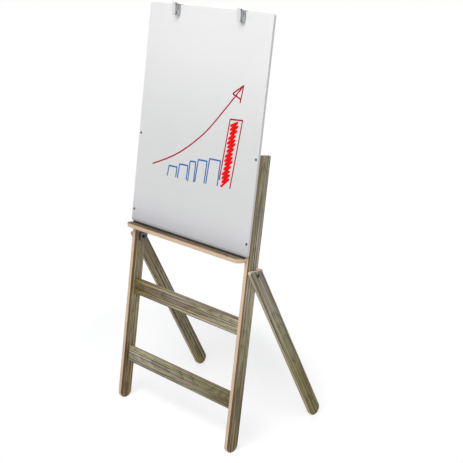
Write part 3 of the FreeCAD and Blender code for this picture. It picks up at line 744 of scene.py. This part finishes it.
screwLook = {  # millimetres; recess is half an arm's width, its reach and its depth
    "headWide": 8.0, "headHigh": 2.6, "shank": 4.0, "root": 2.9, "pitch": 1.8, "smooth": 9.0, "point": 4.0,
    "recess": (0.45, 2.2, 1.5), "spin": 1.5, "seed": 3,
}
place, look = restPlace("board_screws", frontLean), screwLook
long, rim, shank, root = place["size"].y / mm, look["headWide"] / 2, look["shank"] / 2, look["root"] / 2
arm, reach, sunk = look["recess"]
rings = [(-sunk, 0), (-sunk, cross(0.7 * arm, 0.6 * reach)), (0, cross(arm, reach)), (0, rim - 0.12), (-0.12, rim),
         (-0.3, rim), (-look["headHigh"], shank), (-look["smooth"], shank)]
rings += thread(-look["smooth"], look["point"] + 0.5 - long, look)
rings += [(look["point"] - long, root), (-long, 0)]
apart, deep, tall = place["size"].x / 2 - rim * mm, place["size"].y / 2, place["size"].z / 2 - rim * mm
spots = [(along(place, i * apart, -deep, k * tall), toFront) for i in (-1, 1) for k in (-1, 1)]
oneScrew = turnedMesh("countersunk_screw", rings)
setCopies("board_screws_set", oneScrew, spots, "screw", "board_screws", look["spin"], look["seed"])

clipScrewLook = {
    "headWide": 5.4, "headHigh": 1.8, "shank": 2.9, "root": 2.1, "pitch": 1.1, "point": 1.4,
    "recess": (0.35, 1.5, 1.0), "spin": 1.5, "seed": 5,
}
place, look = restPlace("clip_screws", frontLean), clipScrewLook
long, rim, shank, root = place["size"].y / mm, look["headWide"] / 2, look["shank"] / 2, look["root"] / 2
arm, reach, sunk = look["recess"]
rings = [(-sunk, 0), (-sunk, cross(0.7 * arm, 0.6 * reach)), (0, cross(arm, reach)), (0, 0.66 * rim),
         (-0.25, 0.86 * rim), (-0.8, rim), (-look["headHigh"], rim), (-look["headHigh"], shank)]
rings += thread(-look["headHigh"] - 0.3, look["point"] + 0.2 - long, look)
rings += [(look["point"] - long, root), (-long, 0)]
apart, deep = place["size"].x / 2 - rim * mm, place["size"].y / 2
spots = [(along(place, i * apart, deep, 0), toBack) for i in (-1, 1)]
oneScrew = turnedMesh("round_head_screw", rings)
setCopies("clip_screws_set", oneScrew, spots, "zinc", "clip_screws", look["spin"], look["seed"])

boltLook = {  # the socket's flat is half its width across
    "headWide": 10.0, "headHigh": 2.8, "shank": 6.0, "root": 5.2, "pitch": 1.0, "threaded": 14.0, "point": 0.5,
    "socketFlat": 2.0, "socketDeep": 2.0, "spin": 1.0, "seed": 7,
}
place, look = restPlace("pivot_bolts"), boltLook
long, rim = lengthOnAxle("pivot_bolts", place), look["headWide"] / 2
head, shank, root, threadTop = -look["headHigh"], look["shank"] / 2, look["root"] / 2, look["threaded"] - long
flat, sunk = look["socketFlat"], look["socketDeep"]
rings = [(-sunk, 0), (-sunk, sixSided(flat)), (-0.2, sixSided(flat)), (0, sixSided(1.1 * flat)), (0, rim - 0.6),
         (-0.18, rim - 0.18), (-0.6, rim), (head + 0.15, rim), (head, rim - 0.15), (head, shank), (threadTop, shank)]
rings += thread(threadTop, look["point"] + 0.1 - long, look)
rings += [(look["point"] - long, root), (-long, 0.42 * look["shank"]), (-long, 0)]
spots = [(onAxle(place, -1), toLeft), (onAxle(place, 1), toRight)]
oneBolt = turnedMesh("pivot_bolt", rings)
setCopies("pivot_bolts_set", oneBolt, spots, "bolt", "pivot_bolts", look["spin"], look["seed"])

nutLook = {"flat": 5.0, "bore": 3.02, "chamfer": 0.6}
place, look = restPlace("pivot_nuts"), nutLook
high, flat, bore = lengthOnAxle("pivot_nuts", place), look["flat"], look["bore"]
rings = [(0.3, bore), (0, bore + 0.3), (0, flat), (look["chamfer"] + 0.2, sixSided(flat)),
         (high - look["chamfer"], sixSided(flat)), (high, flat), (high, bore + 0.4), (high - 0.4, bore)]
spots = [(onAxle(place, -1), toRight), (onAxle(place, 1), toLeft)]
setCopies("pivot_nuts_set", turnedMesh("lock_nut", rings, loop=True), spots, "nut", "pivot_nuts")

pinLook = {"shank": 3.0, "headWide": 4.6, "headHigh": 0.8}
coilLook = {  # legs are where each end of the wire rests, back and up from the pin
    "wire": 1.1, "mean": 2.7, "half": 1.8, "turns": 3, "start": 18.0, "end": 66.0, "stepsPerTurn": 28,
    "rearLeg": (5.15, -7.0), "frontLeg": (-11.95, 8.0), "step": 0.45,
}
for side in ("left", "right"):
    pin, spring = side + "_clip_pin", side + "_clip_spring"
    place, look = restPlace(pin, frontLean), pinLook
    end, rim, shank = place["size"].x / 2 / mm, look["headWide"] / 2, look["shank"] / 2
    rings = [(end, 0), (end - 0.05, 0.5 * rim), (end - 0.25, 0.85 * rim), (end - 0.55, rim),
             (end - look["headHigh"], rim), (end - look["headHigh"], shank)]
    rings += [(-height, outline) for height, outline in reversed(rings)]
    rivet = turnedMesh("clip_rivet", rings)
    setCopies(side + "_clip_rivet", rivet, [(place["middle"], toRight)], "zinc", pin)
    # torsion spring: a leg down to the clip's strip, close turns round the pin, a leg up to the lever
    look = coilLook
    first, last = math.radians(look["start"]), math.radians(look["end"] + 360 * look["turns"])
    line = [(-look["half"], *look["rearLeg"])]
    steps = look["stepsPerTurn"] * look["turns"]
    for k in range(steps + 1):
        angle = first + (last - first) * k / steps
        across = -look["half"] + 2 * look["half"] * k / steps
        line.append((across, look["mean"] * math.cos(angle), look["mean"] * math.sin(angle)))
    line.append((look["half"], *look["frontLeg"]))
    points = [along(place, *(value * mm for value in point)) for point in line]
    inputs = {"Width": look["wire"] * mm, "Height": look["wire"] * mm, "Step": look["step"] * mm,
              "Wobble": 0.0, "Seed": 0.0, "Sides": 10, "Material": metals["zinc"]}
    wire = runTree(sweptLine, lineHolder(side + "_coil_line", [(points, False)]), inputs)
    meshPiece(side + "_clip_coil", wire, bodyOf[spring], [spring])
print("screws, bolts, nuts, rivets and springs placed")

chart = {  # a plain growth chart, millimetres across from the middle and up from the board's foot
    "penWidth": 4.3, "hatchWidth": 6.8, "inkHeight": 0.16, "wobble": 1.6, "step": 1.5,
    "curve": [(-178, 187), (-122, 209), (-64, 238), (-12, 273), (40, 314), (84, 362), (126, 409), (166, 456)],
    "arrowHead": [(129, 432), (168, 458), (161, 410)],
    "arrowBack": [(129, 432), (160, 421)],
    "bars": [  # left, right, foot, top and lean
        (-107, -70, 163, 194, 4), (-62, -24, 164, 206, 4), (-17, 8, 163, 222, 3),
        (13, 52, 167, 232, 6), (59, 106, 170, 242, 6),
    ],
    "tallBar": [(112, 190), (130, 362), (178, 365), (157, 174)],
    "hatch": {"foot": (134, 182), "head": (149, 355), "half": 13.6, "turns": 14, "uneven": 0.16, "slope": 0.7},
}


def strokes(name, inkName, lines, width, seed):
    ink = bpy.data.materials.get(inkName + "_ink") or inkMaterial(inkName + "_ink", *inkLook[inkName])
    flat = [([(x * mm, y * mm, 0.0) for x, y in points], smooth) for points, smooth in lines]
    inputs = {"Width": width * mm, "Height": chart["inkHeight"] * mm, "Step": chart["step"] * mm,
              "Wobble": chart["wobble"] * mm, "Seed": seed, "Sides": 8, "Material": ink}
    mesh = runTree(sweptLine, lineHolder(name, flat), inputs)
    onFront = Vector((0, -boardSize.y / 2 - 0.5 * chart["inkHeight"] * mm, -boardSize.z / 2))
    place = boardAxes.to_4x4() @ Matrix.Rotation(math.radians(90), 4, "X")
    place.translation = boardPlace["middle"] + boardAxes @ onFront
    mesh.transform(place)
    meshPiece(name, mesh, bodyOf["writing_board"])


hatch, zigzag = chart["hatch"], []
for k in range(hatch["turns"] * 2 + 1):
    share = k / (hatch["turns"] * 2)
    x, y = (foot + share * (head - foot) for foot, head in zip(hatch["foot"], hatch["head"]))
    reach = hatch["half"] * (1 + hatch["uneven"] * math.sin(k * 2.3)) * (1 if k % 2 else -1)
    zigzag.append((x + reach, y + hatch["slope"] * reach))
arrow = [(chart["curve"], True), (chart["arrowHead"], False), (chart["arrowBack"], False)]
bars = [([(left, foot), (left + lean, top), (right + 0.6 * lean, top + 1), (right, foot + 2)], False)
        for left, right, foot, top, lean in chart["bars"]]
strokes("chart_arrow", "red", arrow, chart["penWidth"], 1.0)
strokes("chart_tall_bar", "red", [(chart["tallBar"], False)], chart["penWidth"], 2.0)
strokes("chart_hatching", "brightRed", [(zigzag, False)], chart["hatchWidth"], 3.0)
strokes("chart_low_bars", "blue", bars, chart["penWidth"], 4.0)
print("chart drawn")

stageLook = {  # plain pale floor that fades to white past an oval round the feet, and a soft sky
    "floorRadius": 60.0, "floorColour": (0.86, 0.86, 0.87, 1), "whiteShare": 0.42, "nearWhite": 1.42,
    "ovalMiddle": (-0.235, 0.085, 0.0), "ovalTurn": -20.0, "ovalReach": (0.95, 0.5, 1.0), "fade": (0.58, 1.15),
    "skyColour": (0.96, 0.98, 1.0, 1), "skyStrength": 0.34,
}


def backgroundRays(tree):  # camera, glossy and transmission rays see the plain background
    rays = newNode(tree, "ShaderNodeLightPath").outputs
    either = calc(tree, "MAXIMUM", rays["Is Camera Ray"], rays["Is Glossy Ray"])
    return calc(tree, "MAXIMUM", either, rays["Is Transmission Ray"])


floorMesh = bpy.data.meshes.new("floor")
work = bmesh.new()
bmesh.ops.create_circle(work, cap_ends=True, radius=stageLook["floorRadius"], segments=96)
work.to_mesh(floorMesh)
work.free()
floor = bpy.data.objects.new("floor", floorMesh)
bpy.context.scene.collection.objects.link(floor)
floor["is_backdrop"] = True
floorMaterial = bpy.data.materials.new("floor_white")
floorMaterial.use_nodes = True
tree = floorMaterial.node_tree
tree.nodes.clear()
matt = newNode(tree, "ShaderNodeBsdfDiffuse", {"Color": stageLook["floorColour"]}).outputs[0]
spot = newNode(tree, "ShaderNodeTexCoord").outputs["Object"]
feeds = {"Vector": spot, "Location": stageLook["ovalMiddle"], "Scale": stageLook["ovalReach"],
         "Rotation": (0, 0, math.radians(stageLook["ovalTurn"]))}
oval = newNode(tree, "ShaderNodeMapping", feeds, vector_type="TEXTURE").outputs[0]
away = newNode(tree, "ShaderNodeVectorMath", {0: oval}, operation="LENGTH").outputs["Value"]
far = fade(tree, away, *stageLook["fade"])
glow = calc(tree, "MULTIPLY_ADD", far, 1.0 - stageLook["nearWhite"], stageLook["nearWhite"])
white = newNode(tree, "ShaderNodeEmission", {"Color": (1, 1, 1, 1), "Strength": glow}).outputs[0]
whitening = calc(tree, "MULTIPLY_ADD", far, 1.0 - stageLook["whiteShare"], stageLook["whiteShare"])
feeds = {0: product(tree, backgroundRays(tree), whitening), 1: matt, 2: white}
mixed = newNode(tree, "ShaderNodeMixShader", feeds).outputs[0]
newNode(tree, "ShaderNodeOutputMaterial", {"Surface": mixed})
floorMesh.materials.append(floorMaterial)

world = bpy.data.worlds.new("studio")
bpy.context.scene.world = world
world.use_nodes = True
tree = world.node_tree
tree.nodes.clear()
feeds = {"Color": stageLook["skyColour"], "Strength": stageLook["skyStrength"]}
sky = newNode(tree, "ShaderNodeBackground", feeds).outputs[0]
plain = newNode(tree, "ShaderNodeBackground", {"Color": (1, 1, 1, 1), "Strength": 1.0}).outputs[0]
mixed = newNode(tree, "ShaderNodeMixShader", {0: backgroundRays(tree), 1: sky, 2: plain}).outputs[0]
newNode(tree, "ShaderNodeOutputWorld", {"Surface": mixed})

lamps = {  # place, aim, size, power
    "front": ((0.6, -1.65, 2.55), (0.0, 0.0, 0.85), 2.0, 62.0),
    "side": ((2.7, 0.5, 1.6), (0.0, 0.0, 0.6), 1.8, 4.0),
    "rear": ((-2.2, 2.2, 2.2), (0.0, 0.0, 0.6), 2.0, 12.0),
}
for name, (spot, aim, size, power) in lamps.items():
    light = bpy.data.lights.new(name, "AREA")
    light.shape, light.size, light.energy = "DISK", size, power
    lamp = bpy.data.objects.new(name, light)
    lamp.location = spot
    lamp.rotation_euler = (Vector(aim) - Vector(spot)).to_track_quat("-Z", "Y").to_euler()
    bpy.context.scene.collection.objects.link(lamp)

view = {"place": (2.1657, -1.9626, 1.5140), "turn": 46.715, "dip": 17.994, "roll": -0.779, "lens": 80.94}
cameraData = bpy.data.cameras.new("camera")
cameraData.lens, cameraData.sensor_width = view["lens"], 36.0
cameraData.clip_start, cameraData.clip_end = 0.05, 200.0
camera = bpy.data.objects.new("camera", cameraData)
turned = Matrix.Rotation(math.radians(view["turn"]), 4, "Z") @ Matrix.Rotation(math.radians(90 - view["dip"]), 4, "X")
camera.matrix_world = Matrix.Translation(view["place"]) @ turned @ Matrix.Rotation(math.radians(view["roll"]), 4, "Z")
bpy.context.scene.collection.objects.link(camera)
bpy.context.scene.camera = camera
bpy.context.scene.view_settings.view_transform = "Standard"
print("floor, lights and camera set")

bpy.context.view_layer.update()
low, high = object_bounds()
{"cad": [list(cadLow), list(cadHigh)], "visual": [list(low), list(high)]}
